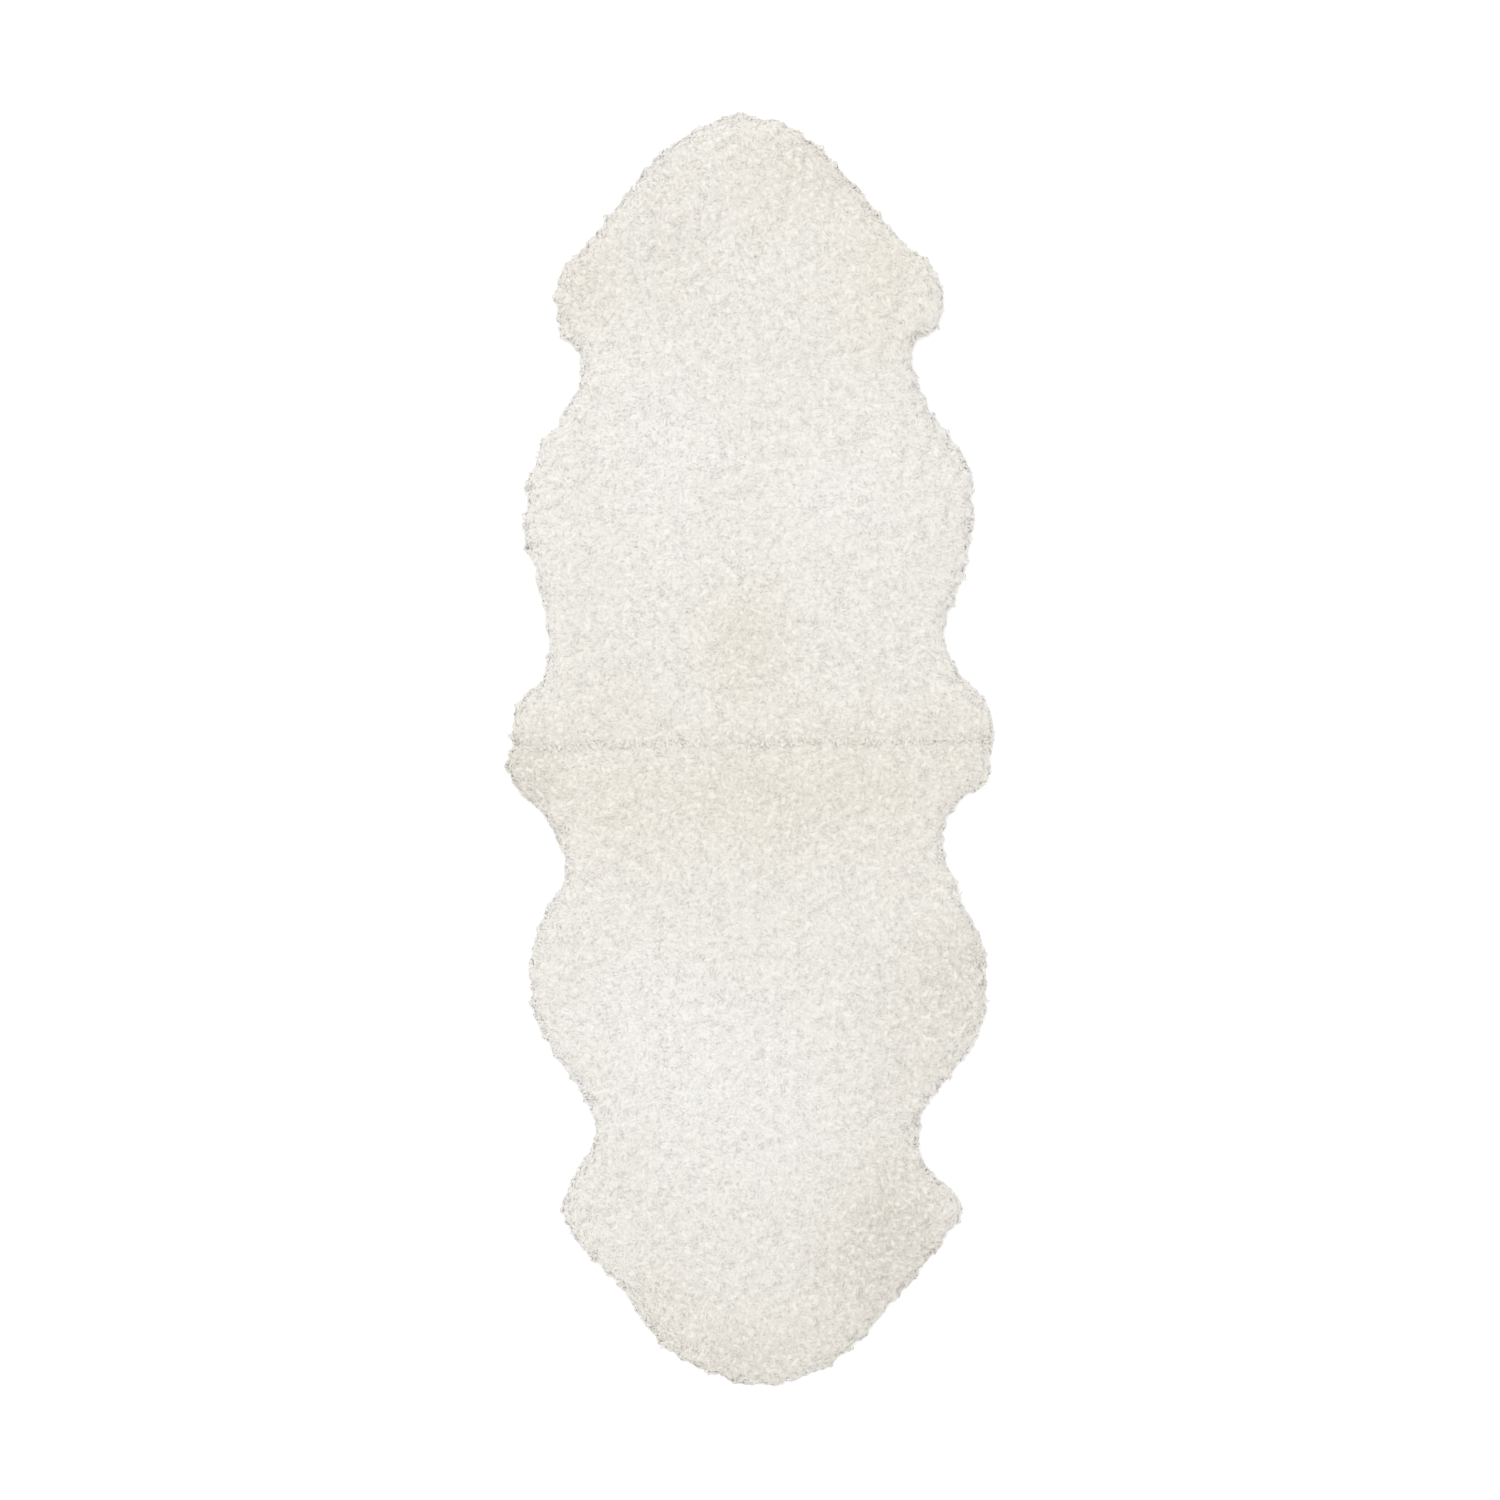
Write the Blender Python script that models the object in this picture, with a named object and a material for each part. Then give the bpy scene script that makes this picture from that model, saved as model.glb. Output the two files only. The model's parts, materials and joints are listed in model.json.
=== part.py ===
"""Double sheepskin rug: two short-wool pelts joined rump to rump at a cross seam, lying flat, wool up.

Metres, +Z up. The origin is on the floor under the middle of the rug, +Y runs along it to the far neck
and +X to its right side. Each pelt is one closed solid, hide and wool together: a lumpy slab, rounded
down to the floor round its edge, with separate locks of wool standing out from the edge.
"""

import math
import random
from collections import namedtuple

import bmesh
import bpy
import numpy as np
from mathutils import Vector, noise
from mathutils.geometry import delaunay_2d_cdt

# ---- Plan of the rug, to the tips of its edge locks ----

FAR_TIP = Vector((-0.010, 0.925))
NEAR_TIP = Vector((0.020, -0.925))

# along: how far a place lies from the middle, towards the far neck; reach: how far from the centre line.
EdgeRow = namedtuple("EdgeRow", "place left_along left_reach right_along right_reach")
EDGE = (
    EdgeRow("far brow", 0.916, 0.060, 0.916, 0.041),
    EdgeRow("far shoulder", 0.874, 0.124, 0.878, 0.097),
    EdgeRow("far slope", 0.803, 0.189, 0.806, 0.168),
    EdgeRow("far slope foot", 0.733, 0.246, 0.739, 0.226),
    EdgeRow("far leg top", 0.689, 0.284, 0.697, 0.269),
    EdgeRow("far leg end", 0.656, 0.289, 0.659, 0.281),
    EdgeRow("far leg foot", 0.614, 0.281, 0.615, 0.273),
    EdgeRow("far armpit", 0.590, 0.259, 0.592, 0.243),
    EdgeRow("far waist", 0.538, 0.253, 0.545, 0.240),
    EdgeRow("far belly top", 0.462, 0.298, 0.452, 0.291),
    EdgeRow("far belly upper", 0.409, 0.321, 0.409, 0.320),
    EdgeRow("far belly", 0.321, 0.332, 0.343, 0.326),
    EdgeRow("far belly foot", 0.271, 0.321, 0.265, 0.314),
    EdgeRow("far flank", 0.190, 0.298, 0.170, 0.284),
    EdgeRow("far flank foot", 0.109, 0.305, 0.115, 0.303),
    EdgeRow("rump leg top", 0.070, 0.339, 0.068, 0.339),
    EdgeRow("seam", 0.012, 0.352, 0.015, 0.352),
    EdgeRow("rump leg foot", -0.042, 0.351, -0.041, 0.346),
    EdgeRow("near pit", -0.116, 0.292, -0.103, 0.284),
    EdgeRow("near flank", -0.172, 0.274, -0.147, 0.283),
    EdgeRow("near belly top", -0.225, 0.296, -0.215, 0.308),
    EdgeRow("near belly upper", -0.282, 0.319, -0.272, 0.332),
    EdgeRow("near belly", -0.340, 0.326, -0.340, 0.345),
    EdgeRow("near belly foot", -0.409, 0.311, -0.413, 0.333),
    EdgeRow("near waist top", -0.464, 0.277, -0.470, 0.297),
    EdgeRow("near waist", -0.551, 0.227, -0.558, 0.244),
    EdgeRow("near waist foot", -0.606, 0.249, -0.609, 0.262),
    EdgeRow("near leg top", -0.638, 0.271, -0.638, 0.292),
    EdgeRow("near leg end", -0.669, 0.276, -0.668, 0.304),
    EdgeRow("near leg foot", -0.704, 0.265, -0.700, 0.292),
    EdgeRow("near slope", -0.769, 0.205, -0.772, 0.236),
    EdgeRow("near shoulder", -0.874, 0.116, -0.878, 0.140),
    EdgeRow("near brow", -0.912, 0.055, -0.913, 0.086),
)
CURVE_STEPS = 10  # points on the plan curve between two rows of the table

# ---- Section through the pile ----

PILE_TOP = 0.036  # floor to the mean top of the wool, with 2 mm of hide under it
LOCK_REACH = 0.008  # how far the edge locks stand out from the swell of the edge

# inset: in from the tips of the locks; height: above the floor.
Ring = namedtuple("Ring", "name inset height")
HEM = Ring("hem", LOCK_REACH + 0.006, 0.0)
SWELL = Ring("swell", LOCK_REACH, 0.012)
SHOULDER = Ring("shoulder", LOCK_REACH + 0.006, 0.024)
CROWN = Ring("crown", LOCK_REACH + 0.018, 0.0315)
EDGE_RIPPLE = 0.003  # how far the swell and shoulder wander in and out
RIPPLE_SCALE = 28.0  # ripples per metre
HEADING_SPAN = 0.018  # along the edge to each side of a station, for its direction inward

LUMP_SPACING = 0.034  # between the tops of neighbouring clumps of curls
LATTICE_STEP = LUMP_SPACING / math.sqrt(3)  # between neighbouring points, a third of which are clump tops
LATTICE_JITTER = 0.2  # of the lattice step
EDGE_ROOM = LATTICE_STEP * 0.6  # kept clear beside the crown ring
LUMP_RISE = 0.0075  # from the hollows between clumps to their tops
LUMP_RANGE = (0.6, 1.2)  # the flattest and the fullest clump, as shares of that rise
ROLL_WIDTH = 0.050  # over which the pile rises from the crown ring to its full height
DRIFT = 0.002  # slow rise and fall of the pile
DRIFT_SCALE = 6.0  # rises per metre

# ---- Cross seam, where the two hides are butted and the wool parts ----

SEAM_MIDDLE = 0.009  # along, at the centre line
SEAM_SLOPE = 0.012  # rise of the seam along the rug for each metre across it
SEAM_GAP = 0.0003
PARTING_DEPTH = 0.009
PARTING_WIDTH = 0.012
SEAM_STEP = 0.015  # between the points along the seam
SEAM_ROOM = PARTING_WIDTH + LATTICE_STEP * 0.75  # kept clear of lattice points beside the seam
CUT_MERGE = 0.0004  # points of the cut closer than this become one

# ---- Edge locks ----

LOCK_PITCH = 0.0162  # along the edge, from one lock to the next
LOCK_SHARE = 0.70  # of the pitch that the lock's root takes; the rest is the gap beside it
LOCK_VARIETY = 0.5  # how much the gaps differ, as a share of their mean
SHORTEST_LOCK = 0.5  # of the reach
LOCK_LEAN = 0.002  # how far a tip leans along the edge
SEAM_MARGIN = 0.004  # along the edge, from the seam to where the locks begin

# out: share of the reach; wide: share of the root's width; high: share of the root's height.
LockStage = namedtuple("LockStage", "out wide high")
LOCK_STAGES = (LockStage(0.6, 0.86, 0.8), LockStage(1.0, 0.4, 0.4))

SEED = 11

SHARP_ANGLE = math.radians(70)
WOOL_ROUGHNESS = 0.95
FAR_WOOL = (0.84, 0.81, 0.75, 1.0)
NEAR_WOOL = (0.82, 0.79, 0.71, 1.0)

Station = namedtuple("Station", "place inward")


def seam_distance(place):
    """How far a plan point lies beyond the seam line, towards the far pelt."""
    return (place.y - SEAM_MIDDLE - SEAM_SLOPE * place.x) / math.hypot(1.0, SEAM_SLOPE)


def plan_curve():
    """The rug's outline as a smooth closed loop of plan points, running anticlockwise."""
    left = [Vector((-row.left_reach, row.left_along)) for row in EDGE]
    right = [Vector((row.right_reach, row.right_along)) for row in EDGE]
    knots = [FAR_TIP, *left, NEAR_TIP, *reversed(right)]
    curve = bpy.data.curves.new("plan", "CURVE")
    curve.resolution_u = CURVE_STEPS
    spline = curve.splines.new("BEZIER")
    spline.use_cyclic_u = True
    spline.bezier_points.add(len(knots) - 1)
    for point, knot in zip(spline.bezier_points, knots):
        point.co = knot.to_3d()
        point.handle_left_type = "AUTO"
        point.handle_right_type = "AUTO"
    guide = bpy.data.objects.new("plan", curve)
    mesh = bpy.data.meshes.new_from_object(guide)
    loop = [vertex.co.xy.copy() for vertex in mesh.vertices]
    bpy.data.objects.remove(guide)
    return loop


def halves_of(loop):
    """The loop as two open paths between the seam's ends: round the far pelt, then round the near one."""
    crossings = []
    for i, place in enumerate(loop):
        following = loop[(i + 1) % len(loop)]
        here, there = seam_distance(place), seam_distance(following)
        if (here > 0) != (there > 0):
            crossings.append((i, place.lerp(following, here / (here - there)), there > 0))
    (left, left_end, _), (right, right_end, _) = sorted(crossings, key=lambda found: found[2])
    near = [left_end, *walk_round(loop, left + 1, right), right_end]
    far = [right_end, *walk_round(loop, right + 1, left), left_end]
    return far, near


def walk_round(loop, first, last):
    """The points of a closed loop from one index to another, going forwards."""
    count = (last - first) % len(loop) + 1
    return [loop[(first + k) % len(loop)] for k in range(count)]


def stations_on(path, chance):
    """Two stations for each lock along a path, at the two sides of its root, with half a gap beside each."""
    lengths = [(b - a).length for a, b in zip(path, path[1:])]
    reached = np.concatenate([[0.0], np.cumsum(lengths)])
    room = reached[-1] - 2 * SEAM_MARGIN
    locks = round(room / LOCK_PITCH)
    pitch = room / locks
    across = np.array([place.x for place in path])
    along = np.array([place.y for place in path])

    def at(distance):
        return Vector((np.interp(distance, reached, across), np.interp(distance, reached, along)))

    mean_gap = pitch * (1 - LOCK_SHARE) / 2
    stations = []
    for lock in range(locks):
        start = SEAM_MARGIN + lock * pitch
        gaps = [mean_gap * chance.uniform(1 - LOCK_VARIETY, 1 + LOCK_VARIETY) for _ in range(2)]
        for distance in (start + gaps[0], start + pitch - gaps[1]):
            heading = (at(distance + HEADING_SPAN) - at(distance - HEADING_SPAN)).normalized()
            stations.append(Station(at(distance), Vector((-heading.y, heading.x))))
    return stations


def ripple(place, height):
    """A wandering amount between about -1 and 1 at a place on the pile."""
    return noise.noise(Vector((place.x, place.y, height)) * RIPPLE_SCALE) * 2


def parting(place):
    """How far the wool dips where it parts over the seam."""
    return PARTING_DEPTH * math.exp(-((seam_distance(place) / PARTING_WIDTH) ** 2))


def ring_points(stations, ring):
    """One level of the rounded edge, as points in space."""
    points = []
    for station in stations:
        loose = ring.height > 0
        inset = ring.inset + EDGE_RIPPLE * ripple(station.place, ring.height) * loose
        place = station.place + station.inward * inset
        dip = parting(place) * ring.height / PILE_TOP
        points.append(Vector((place.x, place.y, ring.height - dip)))
    return points


def inside(across, along, outline):
    """Which of the plan points lie inside a closed outline, by counting the sides that a ray crosses."""
    odd = np.zeros(len(across), bool)
    for a, b in zip(outline, np.roll(outline, -1, axis=0)):
        spans = (a[1] > along) != (b[1] > along)
        if spans.any():
            meets = a[0] + (along - a[1]) * (b[0] - a[0]) / (b[1] - a[1])
            odd ^= spans & (across < meets)
    return odd


def clump_lattice(chance):
    """Plan points on a jittered triangular lattice, a third of them clump tops with hollows all round."""
    row_gap = LATTICE_STEP * math.sqrt(3) / 2
    rows = math.ceil(FAR_TIP.y / row_gap)
    columns = math.ceil(FAR_TIP.y / LATTICE_STEP)
    places = []
    for row in range(-rows, rows + 1):
        for column in range(-columns, columns + 1):
            wander = [chance.uniform(-1, 1) * LATTICE_JITTER * LATTICE_STEP for _ in range(2)]
            place = Vector(((column + row / 2) * LATTICE_STEP + wander[0], row * row_gap + wander[1]))
            is_top = (column - row) % 3 == 0
            if abs(seam_distance(place)) > SEAM_ROOM:
                places.append((place, is_top))
    return places


def seam_rows():
    """Plan points along the seam and along both lips of the parting over it."""
    half_width = max(row.left_reach for row in EDGE)
    count = math.ceil(half_width / SEAM_STEP)
    places = []
    for offset in (-PARTING_WIDTH, 0.0, PARTING_WIDTH):
        for k in range(-count, count + 1):
            x = k * SEAM_STEP + (offset != 0) * SEAM_STEP / 2
            places.append((Vector((x, SEAM_MIDDLE + SEAM_SLOPE * x + offset)), False))
    return places


def pile_points(crown, chance):
    """The points of the wool's top inside the crown ring."""
    found = clump_lattice(chance) + seam_rows()
    outline = np.array([point.xy for point in crown])
    places = np.array([place for place, _ in found])
    within = inside(places[:, 0], places[:, 1], outline)
    points = []
    for (place, is_top), is_inside in zip(found, within):
        room = np.hypot(*(outline - np.array(place)).T).min()
        if not is_inside or room < EDGE_ROOM:
            continue
        roll = math.sin(min(room / ROLL_WIDTH, 1.0) * math.pi / 2)
        height = CROWN.height + (PILE_TOP - CROWN.height) * roll
        height += LUMP_RISE * (is_top - 1 / 3) * chance.uniform(*LUMP_RANGE)
        height += DRIFT * noise.noise(place.to_3d() * DRIFT_SCALE) - parting(place)
        points.append(Vector((place.x, place.y, height)))
    return points


def add_rounded_edge(body, stations):
    """The underside and the bands of the edge: returns the bands, lowest first, and the crown's vertices."""
    rings = [[body.verts.new(point) for point in ring_points(stations, ring)]
             for ring in (HEM, SWELL, SHOULDER, CROWN)]
    body.faces.new(reversed(rings[0]))
    bands = []
    for lower, upper in zip(rings, rings[1:]):
        band = []
        for i in range(len(stations)):
            j = (i + 1) % len(stations)
            band.append(body.faces.new((lower[i], lower[j], upper[j], upper[i])))
        bands.append(band)
    return bands, rings[-1]


def add_pile_top(body, crown, chance):
    """The lumpy top of the wool, filled in from the crown ring."""
    pile = pile_points([vertex.co for vertex in crown], chance)
    verts = crown + [body.verts.new(point) for point in pile]
    places = [vertex.co.xy for vertex in verts]
    outline = list(range(len(crown)))
    filled = delaunay_2d_cdt(places, [], [outline], 1, 1e-6)
    for corners in filled[2]:
        body.faces.new([verts[filled[3][corner][0]] for corner in corners])


def grow_locks(body, roots, chance):
    """Draws each root face out into a tapering lock that droops towards the floor."""
    for root in roots:
        normal = root.normal.copy()
        outward = Vector((normal.x, normal.y, 0)).normalized()
        sideways = Vector((-outward.y, outward.x, 0))
        centre = root.calc_center_median()
        floor_height = min(vertex.co.z for vertex in root.verts)
        front = max((vertex.co - centre).dot(outward) for vertex in root.verts)
        reach = LOCK_REACH * chance.uniform(SHORTEST_LOCK, 1)
        lean = chance.uniform(-LOCK_LEAN, LOCK_LEAN)
        shape = [((vertex.co - centre).dot(sideways), vertex.co.z - floor_height) for vertex in root.verts]
        face = root
        for stage in LOCK_STAGES:
            face = bmesh.ops.extrude_discrete_faces(body, faces=[face])["faces"][0]
            droop = floor_height * (1 - stage.high)
            for vertex, (aside, above) in zip(face.verts, shape):
                place = centre + outward * (front + reach * stage.out)
                place += sideways * (aside * stage.wide + lean * stage.out)
                place.z = floor_height - droop + above * stage.high
                vertex.co = place


def rug_body():
    """The whole rug as one closed mesh, before it is parted at the seam."""
    chance = random.Random(SEED)
    stations = [station for path in halves_of(plan_curve()) for station in stations_on(path, chance)]
    body = bmesh.new()
    (low_band, middle_band, _), crown = add_rounded_edge(body, stations)
    add_pile_top(body, crown, chance)
    bmesh.ops.recalc_face_normals(body, faces=body.faces)
    body.normal_update()
    every_other_low = low_band[0::4]
    every_other_high = middle_band[2::4]
    grow_locks(body, every_other_low + every_other_high, chance)
    return body


def plan_middle(body):
    """The point on the floor halfway between the rug's furthest points each way."""
    spans = [[vertex.co[axis] for vertex in body.verts] for axis in range(2)]
    return Vector([(min(span) + max(span)) / 2 for span in spans] + [0.0])


def add_pelt(name, body, side, colour):
    """One pelt: the part of the rug on one side of the seam, closed along the cut, as an object."""
    pelt = body.copy()
    across_seam = Vector((-SEAM_SLOPE, 1.0, 0.0)).normalized() * side
    on_seam = Vector((0.0, SEAM_MIDDLE, 0.0)) + across_seam * SEAM_GAP / 2
    everything = [*pelt.verts, *pelt.edges, *pelt.faces]
    cut = bmesh.ops.bisect_plane(
        pelt, geom=everything, dist=1e-7, plane_co=on_seam, plane_no=across_seam, clear_inner=True
    )
    cut_verts = [piece for piece in cut["geom_cut"] if isinstance(piece, bmesh.types.BMVert)]
    bmesh.ops.remove_doubles(pelt, verts=cut_verts, dist=CUT_MERGE)
    cut_edges = [edge for edge in pelt.edges if edge.is_boundary]
    bmesh.ops.holes_fill(pelt, edges=cut_edges, sides=0)
    bmesh.ops.recalc_face_normals(pelt, faces=pelt.faces)
    bmesh.ops.translate(pelt, verts=pelt.verts, vec=-plan_middle(body))
    mesh = bpy.data.meshes.new(name)
    pelt.to_mesh(mesh)
    pelt.free()
    mesh.shade_smooth()
    mesh.set_sharp_from_angle(angle=SHARP_ANGLE)
    material = bpy.data.materials.new(name + "_wool")
    material.use_nodes = True
    wool = material.node_tree.nodes["Principled BSDF"]
    wool.inputs["Base Color"].default_value = colour
    wool.inputs["Roughness"].default_value = WOOL_ROUGHNESS
    mesh.materials.append(material)
    rug_piece = bpy.data.objects.new(name, mesh)
    bpy.context.scene.collection.objects.link(rug_piece)


for old in list(bpy.data.objects):
    bpy.data.objects.remove(old)
rug = rug_body()
add_pelt("far_pelt", rug, 1, FAR_WOOL)
add_pelt("near_pelt", rug, -1, NEAR_WOOL)
rug.free()
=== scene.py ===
"""Double sheepskin rug, dressed: two suede hides sewn at the rump, each under a bed of wool and its locks.

Metres, +Z up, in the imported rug's own frame: +Y runs along the rug to the far neck, +X to its right.
"""

import itertools
import json
import math
import random
from collections import namedtuple

import bmesh
import bpy
import numpy as np
from mathutils import Matrix, Vector, noise

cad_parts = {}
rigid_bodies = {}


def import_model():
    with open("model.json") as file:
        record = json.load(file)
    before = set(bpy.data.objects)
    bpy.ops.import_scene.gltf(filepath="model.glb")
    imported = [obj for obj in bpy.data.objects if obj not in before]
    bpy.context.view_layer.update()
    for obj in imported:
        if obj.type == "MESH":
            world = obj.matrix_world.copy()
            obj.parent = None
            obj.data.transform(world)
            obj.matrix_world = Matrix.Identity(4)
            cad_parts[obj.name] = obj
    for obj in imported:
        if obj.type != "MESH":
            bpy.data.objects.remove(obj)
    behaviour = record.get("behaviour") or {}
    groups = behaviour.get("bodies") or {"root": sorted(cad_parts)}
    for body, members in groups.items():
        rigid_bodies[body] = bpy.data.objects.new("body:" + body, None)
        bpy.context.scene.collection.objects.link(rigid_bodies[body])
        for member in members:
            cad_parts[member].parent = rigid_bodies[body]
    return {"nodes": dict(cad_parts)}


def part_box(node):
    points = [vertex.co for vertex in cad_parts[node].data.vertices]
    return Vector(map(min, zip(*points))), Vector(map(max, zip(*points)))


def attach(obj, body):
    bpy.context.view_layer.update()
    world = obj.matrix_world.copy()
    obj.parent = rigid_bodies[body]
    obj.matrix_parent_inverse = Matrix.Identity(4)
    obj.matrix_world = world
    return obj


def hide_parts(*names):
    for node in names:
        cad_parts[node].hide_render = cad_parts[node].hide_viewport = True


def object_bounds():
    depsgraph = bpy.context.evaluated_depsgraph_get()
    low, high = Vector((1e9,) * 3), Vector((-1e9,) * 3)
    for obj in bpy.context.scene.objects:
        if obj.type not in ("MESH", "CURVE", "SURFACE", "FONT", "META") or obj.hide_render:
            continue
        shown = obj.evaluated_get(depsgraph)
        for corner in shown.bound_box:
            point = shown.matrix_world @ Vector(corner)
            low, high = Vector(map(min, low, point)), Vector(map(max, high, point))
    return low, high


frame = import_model()
cad_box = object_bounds()

# Where the seam crosses the rug's middle line: it slopes, so each pelt reaches past that at one end.
seam_middle = (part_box("far_pelt")[0][1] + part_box("near_pelt")[1][1]) / 2

PELTS = ("far", "near")
UP = Vector((0.0, 0.0, 1.0))

# ---- Picture ----

LENS_MM = 85.0
SENSOR_MM = 36.0
VIEW_SIDE = 2.1816  # what the square picture spans at the height of the rug's edge
VIEW_MIDDLE = (-0.0026, -0.0008)  # the rug lies a little above the picture's middle
EDGE_HEIGHT = 0.015  # of the widest part of the wool's edge, above the floor

FLOOR_SIDE = 14.0
FLOOR_COLOUR = (0.92, 0.92, 0.92, 1.0)
FLOOR_ROUGHNESS = 0.9
SKY_COLOUR = (1.0, 1.0, 1.0, 1.0)
SKY_STRENGTH = 1.41
SOFT_LIGHT_WATTS = 22.0
SOFT_LIGHT_SIDE = 2.6
SOFT_LIGHT_PLACE = (-1.5, 2.0, 3.4)

# ---- Bed of wool: the dense lower pile that the locks stand in ----

MERGE_REACH = 1e-5  # points of a solid closer than this become one
CUT_TOLERANCE = 1e-6
UNDERSIDE_HEIGHT = 0.001  # points of a solid lower than this are on its underside
BED_GRAIN = 0.0065  # size of the bed's faces
BED_SETTLING = 3  # rounds of smoothing
SETTLING_SHARE = 0.5  # of the way to its neighbours' middle, that a point moves in one round
BED_FOOTING = 0.02  # the bed is made this much deeper, and then cut off level at its floor
BED_DEPTH = 0.0013  # from the solid's surface in to the bed, on top of the rug
EDGE_DEPTH = 0.0008  # the same at the rug's edge
BED_FLOOR = 0.0016  # the bed's underside, just inside the hide
BED_CRUMB = 0.0024  # relief of the bed between locks
BED_CRUMB_SCALE = 78.0
EDGE_TUFT = 0.0080  # relief of the tufts along the rug's edge
EDGE_TUFT_SCALE = 75.0

# The wool's edge stands out by push in these places, as at a leg's firm corner, or is drawn in.
EdgePlace = namedtuple("EdgePlace", "place x y reach push")
EDGE_PLACES = (
    EdgePlace("far neck, right", 0.185, 0.783, 0.030, -0.004),
    EdgePlace("far left leg", -0.268, 0.608, 0.014, 0.008),
    EdgePlace("far left leg, below", -0.262, 0.586, 0.013, -0.003),
    EdgePlace("far right leg", 0.288, 0.640, 0.026, 0.004),
    EdgePlace("far right leg, above", 0.278, 0.690, 0.030, 0.003),
    EdgePlace("far right leg, below", 0.251, 0.604, 0.014, -0.005),
    EdgePlace("far right shoulder", 0.258, 0.520, 0.045, 0.005),
    EdgePlace("far left shoulder", -0.273, 0.486, 0.035, -0.005),
    EdgePlace("far left belly", -0.331, 0.346, 0.025, -0.006),
    EdgePlace("far left belly, below", -0.328, 0.285, 0.028, 0.004),
    EdgePlace("far right waist", 0.306, 0.246, 0.045, 0.006),
    EdgePlace("far left waist", -0.299, 0.118, 0.040, -0.003),
    EdgePlace("right rump, far", 0.352, 0.060, 0.030, 0.007),
    EdgePlace("right rump, near", 0.345, -0.052, 0.030, 0.003),
    EdgePlace("left rump, near", -0.355, -0.030, 0.028, 0.003),
    EdgePlace("near left waist", -0.310, -0.086, 0.026, -0.003),
    EdgePlace("near left waist, below", -0.289, -0.130, 0.026, 0.008),
    EdgePlace("near left belly", -0.310, -0.256, 0.030, -0.003),
    EdgePlace("near right belly, above", 0.340, -0.287, 0.030, 0.005),
    EdgePlace("near right belly", 0.341, -0.391, 0.040, 0.007),
    EdgePlace("near left belly, below", -0.299, -0.417, 0.026, -0.004),
    EdgePlace("near left hip", -0.255, -0.602, 0.050, -0.004),
    EdgePlace("near right hip", 0.276, -0.624, 0.035, -0.003),
    EdgePlace("near left leg", -0.290, -0.675, 0.026, 0.003),
    EdgePlace("near tip, right", 0.125, -0.895, 0.050, 0.008),
    EdgePlace("near tip", 0.015, -0.922, 0.050, 0.004),
    EdgePlace("near tip, left", -0.130, -0.865, 0.026, 0.008),
)

# ---- Seam ----

SEAM_SLOPE = 0.012  # rise of the seam along the rug for each metre across it
SEAM_HALF_GAP = 0.0001  # between each bed and the middle of the seam
WALL_REACH = 0.012  # over this distance a bed's wall at the seam goes from held to free
WALL_FREE = 1.3  # times that reach from the seam, where it is free; it is wholly held up to 1 less
WALL_FACING = 0.4  # the wall's normals point along the rug by more than this
FILL_LEFT = 0.0080  # how much the wool beside the seam is raised, at the rug's left edge
FILL_RIGHT = 0.0060  # the same at its right edge, where the seam shows more
FILL_REACH = 0.0065
FILL_FLOOR = 0.020  # nothing lower than this is raised

# ---- Hide ----

HIDE_BOTTOM = 0.0006  # clear of the floor by the thickness of the stitches
HIDE_TOP = 0.0022
HIDE_CUT = 0.0045  # height at which the bed's outline gives the hide's
HIDE_EDGE_STEP = 0.003  # least length of an edge along the hide's outline
HIDE_SETTLING = 3  # rounds of smoothing of that outline
HIDE_INSET = 0.004  # how far the hide's edge lies in under the wool's, but for the seam
HIDE_SEAM_REACH = 0.002  # an edge point this near the seam is on it

# ---- Stitches, across the seam on the hides' undersides ----

STITCH_PITCH = 0.0042
STITCH_SLANT = 0.0013  # along the seam, from one end of a stitch to its middle
STITCH_SIDES = 5
STITCH_MARGIN = 0.006  # from the ends of the seam to the first and last stitch
THREAD_RADIUS = 0.00045

# One stitch, from inside one hide to inside the other: how far from the seam, and how high above the floor.
StitchPoint = namedtuple("StitchPoint", "across height")
STITCH_PATH = (
    StitchPoint(-0.0031, 0.0017),
    StitchPoint(-0.0026, 0.0006),
    StitchPoint(0.0, 0.0005),
    StitchPoint(0.0026, 0.0006),
    StitchPoint(0.0031, 0.0017),
)

# ---- Shapes of the locks of wool ----

LOCK_SEED = 5
LOCK_STEPS = 4  # stretches from a lock's root to its tip
LOCK_ROOT = 0.0034  # how far a lock's root lies under the bed
FIRST_STRETCH = 1.25  # length of a lock's first stretch, as a share of the mean
STRETCH_TAPER = 0.5  # how much shorter its last one is
TURN_JITTER = 9.0  # degrees by which each turn differs from its kind's
CREST_SHARE = 0.34  # of a lock's length, where it is highest
HEIGHT_JITTER = 0.0003
ROOT_STEEPNESS = 1.1  # rise of a lock at its root for each metre along
ROOT_WIDTH = 0.6  # of a lock's full width
WIDENING = 2.2  # a lock reaches its full width at one part in this many of its length
WIDTH_JITTER = 0.08
THINNING = 0.88  # share of its width that a lock has lost at its tip
THINNING_POWER = 2.1

# A lock's section, a low ridge. aside and above are shares of half its width.
SectionPoint = namedtuple("SectionPoint", "aside above")
LOCK_SECTION = (
    SectionPoint(-1.0, -0.40),
    SectionPoint(0.1, 0.30),
    SectionPoint(1.0, -0.40),
)

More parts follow.
